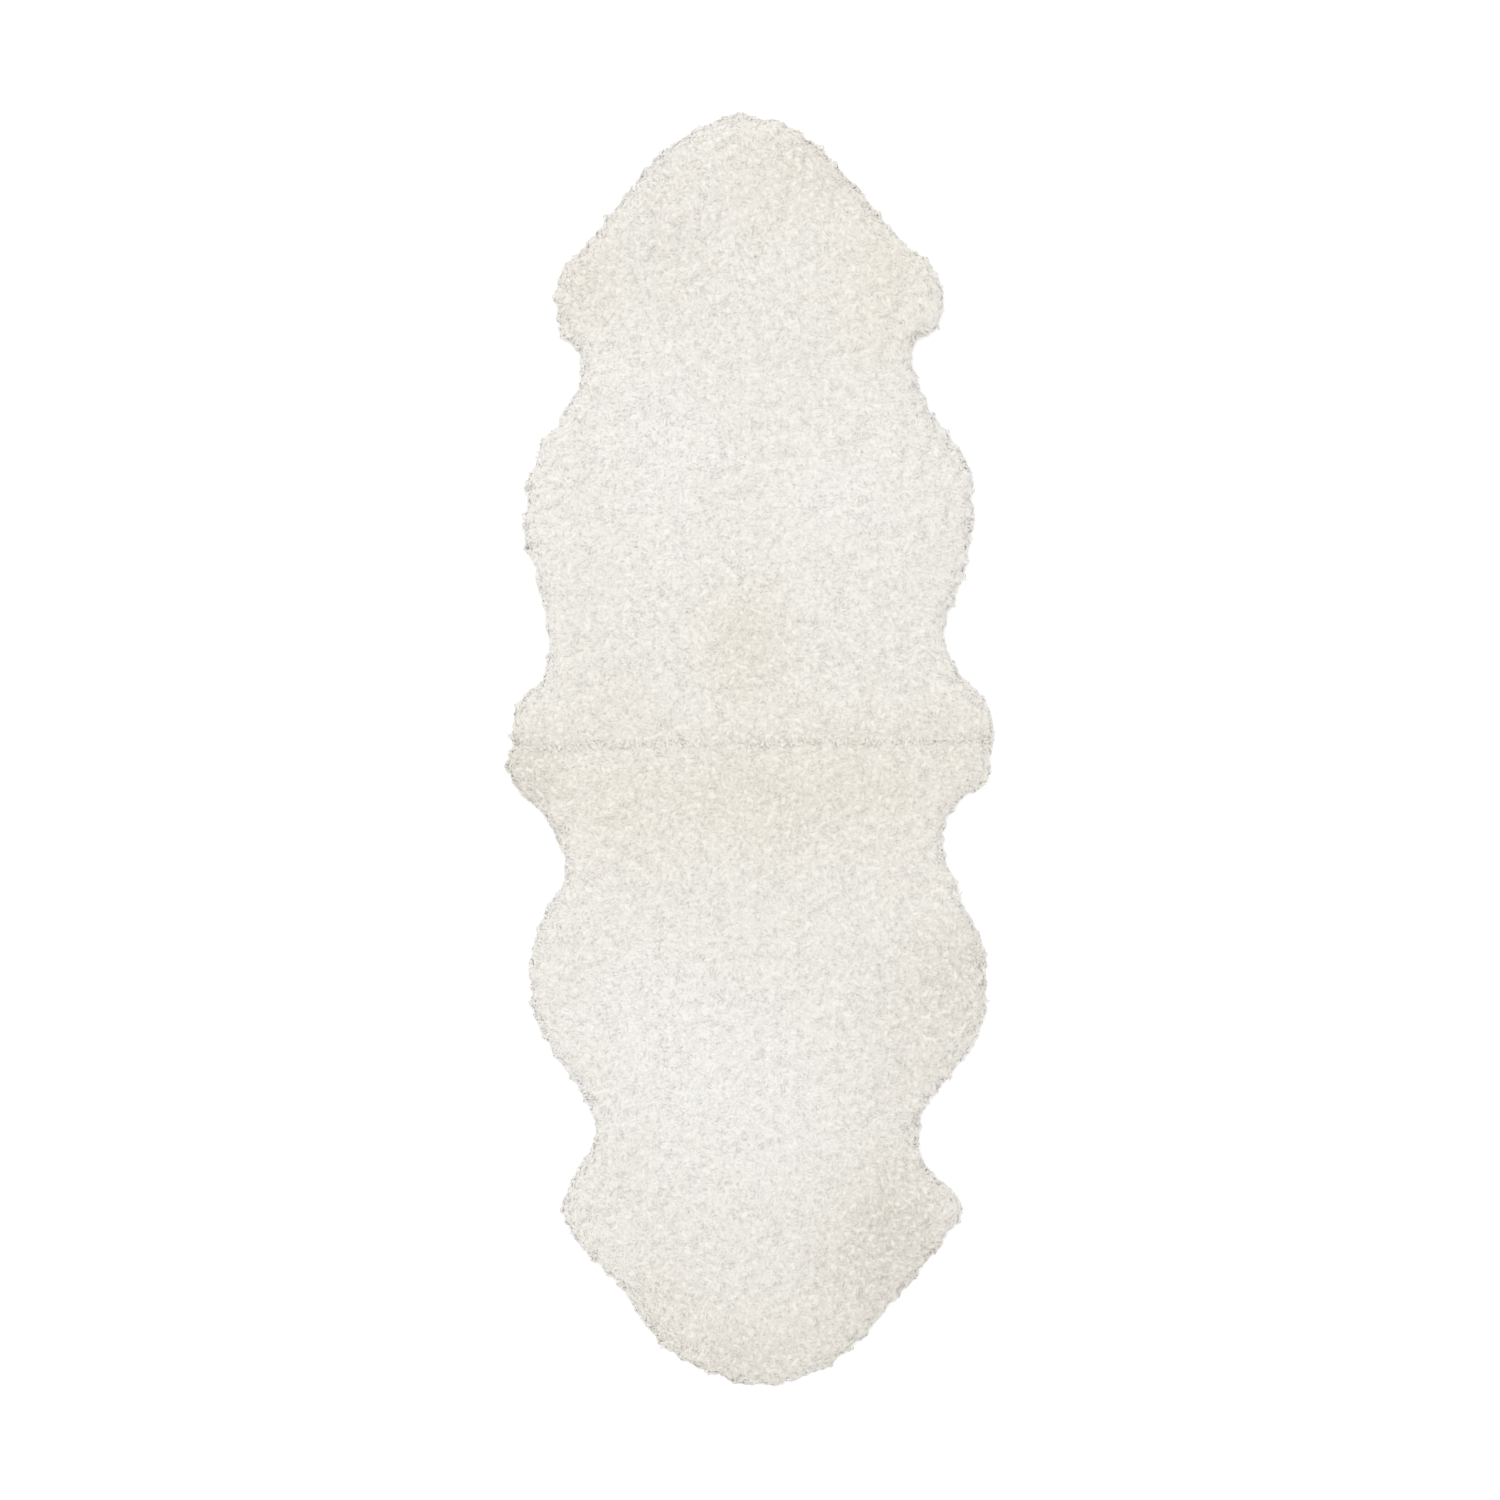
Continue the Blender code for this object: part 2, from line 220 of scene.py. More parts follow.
# turn_root, turn_tip: degrees from one stretch to the next there; stride: its length in metres;
# crest: height of its highest point over the bed; droop: how far its tip falls from there;
# half_width: at its widest.
LockKind = namedtuple("LockKind", "name turn_root turn_tip stride crest droop half_width")
LOCK_KINDS = (
    LockKind("comma", 10, 78, 0.0110, 0.0012, 0.0008, 0.0029),
    LockKind("crook", 34, 56, 0.0104, 0.0014, 0.0012, 0.0028),
    LockKind("wave", 56, -62, 0.0114, 0.0011, 0.0012, 0.0027),
    LockKind("left comma", -12, -76, 0.0107, 0.0013, 0.0008, 0.0029),
    LockKind("left crook", -36, -54, 0.0104, 0.0015, 0.0013, 0.0027),
    LockKind("left wave", -52, 64, 0.0112, 0.0012, 0.0011, 0.0028),
    LockKind("curled end", 26, 96, 0.0113, 0.0014, 0.0003, 0.0028),
)

# ---- Where the locks stand ----

STREWING_SEED = 21
LOCK_SPACING = 0.0046  # least distance between the roots of two locks
RIM_CROWDING = 0.24  # share by which it is less at the rug's edge
CANDIDATES = 14  # places tried for each lock
LEAST_FACING = -0.25  # no lock stands where the bed's normals point up by less than this
LEAST_HEIGHT = 0.004  # nor where the bed is lower than this
NEIGHBOURS = tuple(itertools.product((-1, 0, 1), repeat=3))  # steps to the cells around one
RIM_FACING = 0.8  # the rug's rim begins where its normals point up by less than this
TUFT_REACH = 0.0040  # how far a tuft stands out of the rug's edge, at most
EDGE_JITTER = 0.0016  # how unevenly single locks stand there

TOP_FACING = 0.5  # on top of the wool, normals point up by more than this
SEAM_TIGHT = 0.004  # no lock stands in the seam itself, within this of it and turned to it
BRIDGE_REACH = 0.009  # locks within this of the seam may have another beside them, over the seam
BRIDGE_SHIFT = 0.85  # share of the way to the seam from the first to the other
BRIDGE_RISE = 0.0006  # how much higher that one stands
BRIDGED_LEFT = 0.95  # share of them that has another, at the rug's left edge
BRIDGED_RIGHT = 0.40  # the same at its right edge, where the seam shows more

# ---- How the locks turn ----

NOISE_GAIN = 2.0  # spreads a noise, which seldom passes a half, to about 1
SPREAD = 0.75  # how far a lock turns from its neighbours' way, in radians
SWIRL = 0.8  # how far the neighbours' way wanders from straight out from the spine
SWIRL_SCALE = 13.0
SWIRL_SLICE = 3.0  # height in the noise at which the swirl is read
SPINE_WANDER = 0.05  # how far the spine wanders from the rug's middle line
NECK_START = 0.5  # from the rug's middle along it to each neck
NECK_LENGTH = 0.4
NECK_SWIRL = 2.6  # how much more the neighbours' way wanders at the end of a neck
STAND_UP = 0.25  # how much more upright a lock stands than the bed's own face
STICK_OUT = 1.1  # the same, at most, for a tuft that sticks out of the rug's edge
STICK_OUT_SCALE = 90.0
EDGE_DROP = 0.6  # fall of a lock at the rug's edge for each metre that it turns out
SEAM_LEAN = 0.011  # locks within this of the seam may lean over it
SEAM_COVER = 0.65  # share of them that does, at the seam
SEAM_SLANT = 0.6  # share of its way across the rug that such a lock keeps

# ---- Sizes and shades of the locks ----

LOCK_SIZES = (0.85, 1.20)
SIZE_JITTER = (0.92, 1.08)  # of a lock's length, width and height, each on its own
LOCK_TONES = (0.2, 1.0)
CREAM_JITTER = 0.09
RIM_WHITER = 0.10  # how much less cream the rug's rim is
RIM_PAINTED_LIGHT = 0.15  # painted light: how much lighter the rug's rim is, against the shade on its steep sides

# The rug's wool is creamier, or whiter where cream is negative, in these places. By the last column it is
# darker, or lighter
# where that is negative: partly greyer wool, partly painted shade at the legs, necks, tip, seam and edges,
# and painted light in the middle of each pelt.
Patch = namedtuple("Patch", "place x y half_x half_y cream dull")
PATCHES = (
    Patch("far left leg", -0.240, 0.675, 0.055, 0.060, 0.42, 0.30),
    Patch("far neck, right", 0.085, 0.850, 0.100, 0.085, 0.36, 0.28),
    Patch("far right leg", 0.185, 0.685, 0.060, 0.110, 0.46, 0.10),
    Patch("far neck, left", -0.110, 0.740, 0.090, 0.100, 0.00, 0.20),
    Patch("far shoulder", -0.130, 0.430, 0.110, 0.160, -0.20, -0.14),
    Patch("far flank", 0.130, 0.370, 0.110, 0.120, -0.14, -0.14),
    Patch("far rump", -0.010, 0.150, 0.055, 0.075, 0.66, 0.28),
    Patch("far left rump", -0.215, 0.060, 0.060, 0.060, 0.22, 0.10),
    Patch("seam, middle", 0.010, -0.060, 0.110, 0.080, 0.60, 0.20),
    Patch("seam, left", -0.190, -0.080, 0.110, 0.085, 0.44, 0.15),
    Patch("seam, right", 0.200, -0.050, 0.120, 0.100, 0.42, 0.20),
    Patch("seam, left end", -0.325, -0.035, 0.050, 0.060, 0.55, 0.70),
    Patch("seam, right end", 0.310, 0.010, 0.050, 0.060, 0.30, 0.15),
    Patch("near back", -0.140, -0.420, 0.110, 0.150, -0.22, -0.22),
    Patch("near flank", 0.020, -0.510, 0.120, 0.150, -0.22, -0.18),
    Patch("near right belly", 0.310, -0.320, 0.050, 0.070, 0.44, 0.40),
    Patch("near right waist", 0.250, -0.420, 0.080, 0.160, 0.00, 0.35),
    Patch("near right leg", 0.215, -0.670, 0.060, 0.070, 0.44, 0.40),
    Patch("near right brow", 0.190, -0.760, 0.110, 0.110, 0.10, 0.60),
    Patch("near tip", 0.000, -0.890, 0.160, 0.060, 0.24, 0.45),
    Patch("near left brow", -0.150, -0.800, 0.080, 0.060, 0.12, 0.25),
)
BASE_CREAM = 0.15
BASE_DULL = 0.20

# Each pelt's locks are joined in three pieces, by how far along the rug they lie from its middle.
Zone = namedtuple("Zone", "name nearest furthest")
ZONES = (
    Zone("rump", 0.0, 0.27),
    Zone("belly", 0.27, 0.53),
    Zone("neck", 0.53, 1.0),
)

# ---- Looks ----

WHITE_WOOL = (0.718, 0.702, 0.682, 1.0)
CREAM_WOOL = (0.694, 0.656, 0.560, 1.0)
# Greyer wool that also stands in for painted shade: the patches mix it in.
DULL_AND_SHADED_WOOL = (0.575, 0.546, 0.494, 1.0)
# Painted shade: wool as it looks in shadow, at the locks' roots and in the bed.
SHADED_WOOL = (0.700, 0.678, 0.634, 1.0)
# Painted shade in the crevices between the bed's fibres.
CREVICE_SHADE_WOOL = (0.670, 0.641, 0.585, 1.0)
SUEDE = (0.66, 0.53, 0.38, 1.0)
PALE_SUEDE = (0.74, 0.62, 0.47, 1.0)
DARK_NAP = (0.45, 0.34, 0.23, 1.0)
THREAD = (0.78, 0.72, 0.60, 1.0)
SHADED_THREAD = (0.62, 0.55, 0.43, 1.0)

MIX_INPUTS = (0, 6, 7)  # a mix node's sockets for its share and for two colours
MIX_RESULT = 2

SPECULAR = 0.2
SHEEN_ROUGHNESS = 0.5
NOISE_SPAN = (0.3, 0.7)  # between which most of a noise texture's values lie
FIBRE_RELIEF = 0.0006

MOTTLE = (-0.10, 0.10)  # how much whiter or creamier the wool is from spot to spot
MOTTLE_SCALE = 22.0
MOTTLE_DETAIL = 3.0
ROOT_SPAN = (0.0, 0.45)  # share of a lock's length over which the painted shade at its root fades
LOCK_FIBRES = (18.0, 90.0, 1.0)  # a noise's waves around a lock, and along each metre of it
LOCK_FIBRE_DETAIL = 2.5
STREAKS = (0.97, 1.015)  # the darkest and the lightest fibres
TONES = (0.975, 1.010)  # the darkest and the lightest locks

BED_SHADE = 0.5  # share of the shaded wool, painted shade of the locks over the bed, in its colour
BED_SWIRL = (0.030, 0.030, 0.030)  # how far the bed's fibres wander
BED_SWIRL_SCALE = 70.0
BED_FIBRES = (260.0, 1500.0, 900.0)  # their noise's waves a metre along each axis
BED_FIBRE_SPAN = (0.35, 0.65)
BED_FIBRE_SHADE = (0.7, 0.0)  # share of the darker wool, painted shade in crevices, in the lowest and the highest fibres

BLOTCH_SCALE = 9.0
BLOTCH_DETAIL = 5.0
NAP_SCALE = 900.0
NAP_SHADE = 0.25  # share of the dark nap in the suede, at most
NAP_RELIEF = 0.0003
PLY_SCALE = 900.0
PLY_RELIEF = 0.0001


# ---- Small helpers ----


def add_piece(name, mesh):
    """A mesh as an object at the origin, in the scene."""
    piece = bpy.data.objects.new(name, mesh)
    bpy.context.scene.collection.objects.link(piece)
    return piece


def settled_mesh(piece, name):
    """What a piece's modifiers make of it, as a mesh of its own. The piece itself is removed."""
    bpy.context.view_layer.update()
    shown = piece.evaluated_get(bpy.context.evaluated_depsgraph_get())
    mesh = bpy.data.meshes.new_from_object(shown)
    mesh.name = name
    bpy.data.objects.remove(piece)
    return mesh


def mesh_of(shape, name):
    """A bmesh as a mesh. The bmesh itself is let go."""
    mesh = bpy.data.meshes.new(name)
    shape.to_mesh(mesh)
    shape.free()
    return mesh


def cut_level(shape, height, **cleared):
    """Cuts a bmesh level at a height, and clears it above or below as told."""
    everything = [*shape.verts, *shape.edges, *shape.faces]
    bmesh.ops.bisect_plane(shape, geom=everything, dist=CUT_TOLERANCE, plane_co=UP * height, plane_no=UP,
                           **cleared)


def rows_of(items, field):
    """A three-part value of each item, as rows of an array."""
    flat = np.empty(len(items) * 3, np.float32)
    items.foreach_get(field, flat)
    return flat.reshape(-1, 3)


def places_of(mesh):
    """A mesh's vertex places as rows of an array."""
    return rows_of(mesh.vertices, "co")


def normals_of(mesh):
    """A mesh's vertex normals as rows of an array."""
    return rows_of(mesh.vertex_normals, "vector")


def uprightness(normals):
    """How far each normal points up: 1 for straight up, 0 for level."""
    return normals[:, 2] / np.linalg.norm(normals, axis=1)


def add_values(mesh, name, kind, values):
    """A named value for each of a mesh's vertices."""
    layer = mesh.attributes.new(name, kind, "POINT")
    field = "vector" if kind == "FLOAT_VECTOR" else "value"
    layer.data.foreach_set(field, np.ascontiguousarray(values).ravel())


def noise_at(places, scale):
    """A smooth noise at each place, with this many waves to the metre."""
    return np.array([noise.noise(Vector(place) * scale) for place in places])


def patched(places, field, base):
    """A value of the patches at each place, such as how cream the wool is."""
    total = np.full(len(places), base)
    for patch in PATCHES:
        across = (places[:, 0] - patch.x) / patch.half_x
        along = (places[:, 1] - patch.y) / patch.half_y
        total += getattr(patch, field) * np.exp(-(across**2 + along**2))
    return total.astype(np.float32)


def share_across(places):
    """How far across the rug each place lies, from 0 at its left edge to 1 at its right."""
    left, right = cad_box[0][0], cad_box[1][0]
    return (places[:, 0] - left) / (right - left)


def seam_distance(x, y):
    """How far a place, or each of an array of them, lies beyond the seam, less than 0 on the near pelt."""
    return y - seam_middle - SEAM_SLOPE * x


def side_of(pelt):
    """Which way a pelt lies from the seam along the rug."""
    return 1 if pelt == "far" else -1


# ---- Materials ----


def new_material(name, colour, roughness, sheen):
    """A material with one shader, and its node tree's nodes and links to add to."""
    material = bpy.data.materials.new(name)
    material.use_nodes = True
    shader = material.node_tree.nodes["Principled BSDF"]
    shader.inputs["Base Color"].default_value = colour
    shader.inputs["Roughness"].default_value = roughness
    shader.inputs["Specular IOR Level"].default_value = SPECULAR
    shader.inputs["Sheen Weight"].default_value = sheen
    shader.inputs["Sheen Roughness"].default_value = SHEEN_ROUGHNESS
    return material, material.node_tree.nodes, material.node_tree.links, shader


def object_place(nodes):
    """The socket of a point's place on its object."""
    return nodes.new("ShaderNodeTexCoord").outputs["Object"]


def attribute_value(nodes, name):
    """The socket of a vertex value."""
    node = nodes.new("ShaderNodeAttribute")
    node.attribute_name = name
    return node.outputs["Fac"]


def mixed(nodes, links, share, first, second, blend="MIX"):
    """The colour socket of a mix of two colours. Each of these, and the share, is a value or a socket."""
    node = nodes.new("ShaderNodeMix")
    node.data_type = "RGBA"
    node.blend_type = blend
    for socket, value in zip(MIX_INPUTS, (share, first, second)):
        if isinstance(value, bpy.types.NodeSocket):
            links.new(value, node.inputs[socket])
        else:
            node.inputs[socket].default_value = value
    return node.outputs[MIX_RESULT]


def ranged(nodes, links, value, span, onto):
    """A value spread from one span onto another, and kept within it."""
    node = nodes.new("ShaderNodeMapRange")
    links.new(value, node.inputs["Value"])
    for label, number in zip(("From Min", "From Max", "To Min", "To Max"), (*span, *onto)):
        node.inputs[label].default_value = number
    return node.outputs["Result"]


def stretched(nodes, links, vector, scales):
    """A vector with each of its parts multiplied."""
    node = nodes.new("ShaderNodeVectorMath")
    node.operation = "MULTIPLY"
    links.new(vector, node.inputs[0])
    node.inputs[1].default_value = scales
    return node.outputs["Vector"]


def noise_value(nodes, links, vector, scale=1.0, detail=2.0):
    """A noise read at a vector."""
    node = nodes.new("ShaderNodeTexNoise")
    links.new(vector, node.inputs["Vector"])
    node.inputs["Scale"].default_value = scale
    node.inputs["Detail"].default_value = detail
    return node.outputs["Fac"]


def set_surface(nodes, links, shader, colour, height, relief):
    """Gives a shader its colour, and a bump from a height that is relief metres deep."""
    bump = nodes.new("ShaderNodeBump")
    links.new(height, bump.inputs["Height"])
    bump.inputs["Distance"].default_value = relief
    bump.inputs["Strength"].default_value = 1.0
    links.new(colour, shader.inputs["Base Color"])
    links.new(bump.outputs["Normal"], shader.inputs["Normal"])


def wool_colour(nodes, links):
    """White wool going to cream, and to greyer wool with painted shade, by the piece's own values, with a
    faint mottle.
    """
    spots = noise_value(nodes, links, object_place(nodes), MOTTLE_SCALE, MOTTLE_DETAIL)
    cream = nodes.new("ShaderNodeMath")
    cream.use_clamp = True
    links.new(attribute_value(nodes, "cream"), cream.inputs[0])
    links.new(ranged(nodes, links, spots, NOISE_SPAN, MOTTLE), cream.inputs[1])
    colour = mixed(nodes, links, cream.outputs[0], WHITE_WOOL, CREAM_WOOL)
    return mixed(nodes, links, attribute_value(nodes, "dull"), colour, DULL_AND_SHADED_WOOL)


def lock_wool():
    """Locks: fine fibres along each lock, with painted shade at its root, each a little lighter or darker.
    """
    material, nodes, links, shader = new_material("curly_wool", WHITE_WOOL, roughness=0.85, sheen=0.25)
    # Painted shade at the root, fading along the lock.
    root = ranged(nodes, links, attribute_value(nodes, "rise"), ROOT_SPAN, (1.0, 0.0))
    colour = mixed(nodes, links, root, wool_colour(nodes, links), SHADED_WOOL)
    fibre_map = nodes.new("ShaderNodeUVMap")
    fibre_map.uv_map = "fibre"
    along = stretched(nodes, links, fibre_map.outputs["UV"], LOCK_FIBRES)
    fibres = noise_value(nodes, links, along, detail=LOCK_FIBRE_DETAIL)
    both = nodes.new("ShaderNodeMath")
    both.operation = "MULTIPLY"
    links.new(ranged(nodes, links, fibres, NOISE_SPAN, STREAKS), both.inputs[0])
    links.new(ranged(nodes, links, attribute_value(nodes, "tone"), (0.0, 1.0), TONES), both.inputs[1])
    grey = nodes.new("ShaderNodeCombineColor")
    for channel in range(3):
        links.new(both.outputs[0], grey.inputs[channel])
    colour = mixed(nodes, links, 1.0, colour, grey.outputs["Color"], "MULTIPLY")
    set_surface(nodes, links, shader, colour, fibres, FIBRE_RELIEF)
    return material


def bed_wool():
    """The bed between the locks: wool in painted shade, deeper between its fibres, with a crumbly surface.
    """
    material, nodes, links, shader = new_material("bed_wool", SHADED_WOOL, roughness=0.95, sheen=0.2)
    place = object_place(nodes)
    wander = nodes.new("ShaderNodeTexNoise")
    wander.inputs["Scale"].default_value = BED_SWIRL_SCALE
    links.new(place, wander.inputs["Vector"])
    swirled = nodes.new("ShaderNodeVectorMath")
    swirled.operation = "MULTIPLY_ADD"
    links.new(wander.outputs["Color"], swirled.inputs[0])
    swirled.inputs[1].default_value = BED_SWIRL
    links.new(place, swirled.inputs[2])
    fibres = noise_value(nodes, links, stretched(nodes, links, swirled.outputs["Vector"], BED_FIBRES))
    # The lowest fibres, where the bump sinks, take painted shade.
    shade = ranged(nodes, links, fibres, BED_FIBRE_SPAN, BED_FIBRE_SHADE)
    # Painted shade of the locks over the bed.
    colour = mixed(nodes, links, BED_SHADE, wool_colour(nodes, links), SHADED_WOOL)
    colour = mixed(nodes, links, shade, colour, CREVICE_SHADE_WOOL)
    set_surface(nodes, links, shader, colour, fibres, FIBRE_RELIEF)
    return material


def suede():
    """The flesh side of the hide: napped, blotched tan."""
    material, nodes, links, shader = new_material("suede", SUEDE, roughness=0.9, sheen=0.4)
    place = object_place(nodes)
    blotches = noise_value(nodes, links, place, BLOTCH_SCALE, BLOTCH_DETAIL)
    nap = noise_value(nodes, links, place, NAP_SCALE)
    pale = ranged(nodes, links, blotches, NOISE_SPAN, (0.0, 1.0))
    dark = ranged(nodes, links, nap, NOISE_SPAN, (0.0, NAP_SHADE))
    colour = mixed(nodes, links, dark, mixed(nodes, links, pale, SUEDE, PALE_SUEDE), DARK_NAP)
    set_surface(nodes, links, shader, colour, nap, NAP_RELIEF)
    return material


def sewing_thread():
    """Waxed thread of the seam, twisted."""
    material, nodes, links, shader = new_material("sewing_thread", THREAD, roughness=0.6, sheen=0.1)
    ply = nodes.new("ShaderNodeTexWave")
    ply.bands_direction = "DIAGONAL"
    ply.inputs["Scale"].default_value = PLY_SCALE
    links.new(object_place(nodes), ply.inputs["Vector"])
    twist = ply.outputs["Fac"]
    set_surface(nodes, links, shader, mixed(nodes, links, twist, THREAD, SHADED_THREAD), twist, PLY_RELIEF)
    return material


# ---- Bed and hide ----


def even_bed(pelt):
    """The solid of one pelt made deeper, in even faces and smoothed, as a mesh."""
    solid = bmesh.new()
    solid.from_mesh(frame["nodes"][pelt + "_pelt"].data)
    bmesh.ops.remove_doubles(solid, verts=solid.verts, dist=MERGE_REACH)
    for vertex in solid.verts:
        if vertex.co.z < UNDERSIDE_HEIGHT:
            vertex.co.z -= BED_FOOTING
    piece = add_piece(pelt + "_rough_bed", mesh_of(solid, pelt + "_rough_bed"))
    even = piece.modifiers.new("even", "REMESH")
    even.mode = "VOXEL"
    even.voxel_size = BED_GRAIN
    settle = piece.modifiers.new("settle", "SMOOTH")
    settle.factor = SETTLING_SHARE
    settle.iterations = BED_SETTLING
    return settled_mesh(piece, pelt + "_bed")


def shape_bed(mesh, side):
    """Lets an even bed in by the depth of the locks, crumbled, tufted at its edge and full at the seam."""
    places = places_of(mesh)
    normals = normals_of(mesh)
    crumb = noise_at(places, BED_CRUMB_SCALE) * BED_CRUMB
    tuft = noise_at(places, EDGE_TUFT_SCALE) * EDGE_TUFT
    for edge in EDGE_PLACES:
        away = np.hypot(places[:, 0] - edge.x, places[:, 1] - edge.y)
        tuft += edge.push * np.exp(-((away / edge.reach) ** 2))
    upright = np.abs(normals[:, 2])
    depth = EDGE_DEPTH + (BED_DEPTH - EDGE_DEPTH) * upright
    moves = normals * (crumb + tuft * (1 - upright) - depth)[:, None]
    from_seam = side * seam_distance(places[:, 0], places[:, 1])
    held = np.clip(WALL_FREE - from_seam / WALL_REACH, 0, 1)
    moves[:, 1] *= 1 - held
    moves[:, 1] += side * (SEAM_HALF_GAP - from_seam) * held * (np.abs(normals[:, 1]) > WALL_FACING)
    fill = FILL_LEFT + (FILL_RIGHT - FILL_LEFT) * share_across(places)
    moves[:, 2] += fill * np.exp(-((from_seam / FILL_REACH) ** 2)) * (places[:, 2] > FILL_FLOOR)
    mesh.vertices.foreach_set("co", (places + moves).ravel())


def close_bed(mesh):
    """Cuts a bed off level at its floor and closes it there."""
    bed = bmesh.new()
    bed.from_mesh(mesh)
    cut_level(bed, BED_FLOOR, clear_inner=True)
    rim = [edge for edge in bed.edges if edge.is_boundary]
    filled = bmesh.ops.triangle_fill(bed, edges=rim, use_beauty=True, normal=-UP)["geom"]
    underside = [part for part in filled if isinstance(part, bmesh.types.BMFace)]
    bmesh.ops.reverse_faces(bed, faces=[face for face in underside if face.normal.z > 0])
    bed.to_mesh(mesh)
    bed.free()


def make_bed(pelt, material):
    """The lower pile of one pelt, drawn from its solid."""
    mesh = even_bed(pelt)
    shape_bed(mesh, side_of(pelt))
    close_bed(mesh)
    mesh.shade_smooth()
    add_values(mesh, "cream", "FLOAT", patched(places_of(mesh), "cream", BASE_CREAM))
    # Greyer wool with painted shade and light, from the patches.
    add_values(mesh, "dull", "FLOAT", patched(places_of(mesh), "dull", BASE_DULL))
    mesh.materials.clear()
    mesh.materials.append(material)
    return add_piece(mesh.name, mesh)


def make_hide(pelt, bed, material):
    """One hide, a flat sheet in the bed's outline near the floor that reaches the seam, and its area."""
    sheet = bmesh.new()
    sheet.from_mesh(bed.data)
    cut_level(sheet, HIDE_CUT, clear_inner=True, clear_outer=True)
    bmesh.ops.remove_doubles(sheet, verts=sheet.verts, dist=HIDE_EDGE_STEP)
    for _ in range(HIDE_SETTLING):
        bmesh.ops.smooth_vert(sheet, verts=sheet.verts, factor=SETTLING_SHARE, use_axis_x=True,
                              use_axis_y=True)
    side = side_of(pelt)
    for vertex in sheet.verts:
        if side * seam_distance(vertex.co.x, vertex.co.y) < HIDE_SEAM_REACH:
            vertex.co.y -= side * HIDE_INSET
    bmesh.ops.triangle_fill(sheet, edges=sheet.edges[:], use_beauty=True, normal=UP)
    rim = bmesh.ops.inset_region(sheet, faces=sheet.faces[:], thickness=HIDE_INSET, use_boundary=True,
                                 use_even_offset=True)["faces"]
    bmesh.ops.delete(sheet, geom=rim, context="FACES")
    bmesh.ops.translate(sheet, verts=sheet.verts, vec=UP * (HIDE_BOTTOM - HIDE_CUT))
    raised = bmesh.ops.extrude_face_region(sheet, geom=sheet.faces[:])["geom"]
    raised_verts = [part for part in raised if isinstance(part, bmesh.types.BMVert)]
    bmesh.ops.translate(sheet, verts=raised_verts, vec=UP * (HIDE_TOP - HIDE_BOTTOM))
    bmesh.ops.recalc_face_normals(sheet, faces=sheet.faces)
    area = sum(face.calc_area() for face in sheet.faces) / 2
    mesh = mesh_of(sheet, pelt + "_hide")
    mesh.materials.append(material)
    return add_piece(mesh.name, mesh), area


def add_tube(thread, path):
    """A tube of thread along a path, closed at its end and still open at its start."""
    ring = bmesh.ops.create_circle(thread, cap_ends=True, segments=STITCH_SIDES, radius=THREAD_RADIUS)
    face = ring["verts"][0].link_faces[0]
    for index, centre in enumerate(path):
        if index:
            face = bmesh.ops.extrude_discrete_faces(thread, faces=[face])["faces"][0]
        ahead = path[min(index + 1, len(path) - 1)] - path[max(index - 1, 0)]
        turn = ahead.to_track_quat("Z", "Y")
        for corner, vertex in enumerate(face.verts):
            angle = 2 * math.pi * corner / STITCH_SIDES
            vertex.co = centre + turn @ Vector((math.cos(angle), math.sin(angle), 0.0)) * THREAD_RADIUS


def sew_hides(hides, material):
    """The whip stitches that hold the two hides together, as one piece."""
    edges = [place for hide in hides for place in places_of(hide.data).tolist()]
    on_seam = [x for x, y, _ in edges if abs(seam_distance(x, y)) < HIDE_SEAM_REACH]
    start = min(on_seam) + STITCH_MARGIN
    end = max(on_seam) - STITCH_MARGIN
    thread = bmesh.new()
    for stitch in range(int((end - start) / STITCH_PITCH) + 1):
        x = start + stitch * STITCH_PITCH
        here = Vector((x, seam_middle + SEAM_SLOPE * x, 0.0))
        path = []
        for point in STITCH_PATH:
            slant = math.copysign(STITCH_SLANT, point.across) if point.across else 0.0
            path.append(here + Vector((slant, point.across, point.height)))
        add_tube(thread, path)
    bmesh.ops.holes_fill(thread, edges=[edge for edge in thread.edges if edge.is_boundary], sides=0)
    bmesh.ops.recalc_face_normals(thread, faces=thread.faces)
    mesh = mesh_of(thread, "seam_stitches")
    mesh.shade_smooth()
    mesh.materials.append(material)
    return add_piece(mesh.name, mesh)


# ---- Locks of wool ----


def lock_path(kind, chance):
    """A lock's middle line and headings, seen from above: centred, and lying along X as a whole."""
    path = [Vector((0.0, 0.0))]
    headings = []
    heading = 0.0
    for step in range(LOCK_STEPS + 1):
        share = step / LOCK_STEPS
        heading += math.radians(kind.turn_root + (kind.turn_tip - kind.turn_root) * share)
        heading += math.radians(chance.uniform(-TURN_JITTER, TURN_JITTER))
        headings.append(heading)
        ahead = Vector((math.cos(heading), math.sin(heading)))
        taper = FIRST_STRETCH - STRETCH_TAPER * share
        path.append(path[-1] + ahead * kind.stride / LOCK_STEPS * taper)
    middle = sum(path, Vector((0.0, 0.0))) / len(path)
    spread = np.cov(np.array([tuple(point) for point in path]).T)
    lean = math.atan2(2 * spread[0, 1], spread[0, 0] - spread[1, 1]) / 2
    along = Matrix.Rotation(-lean, 2)
    return [along @ (point - middle) for point in path], [heading - lean for heading in headings]


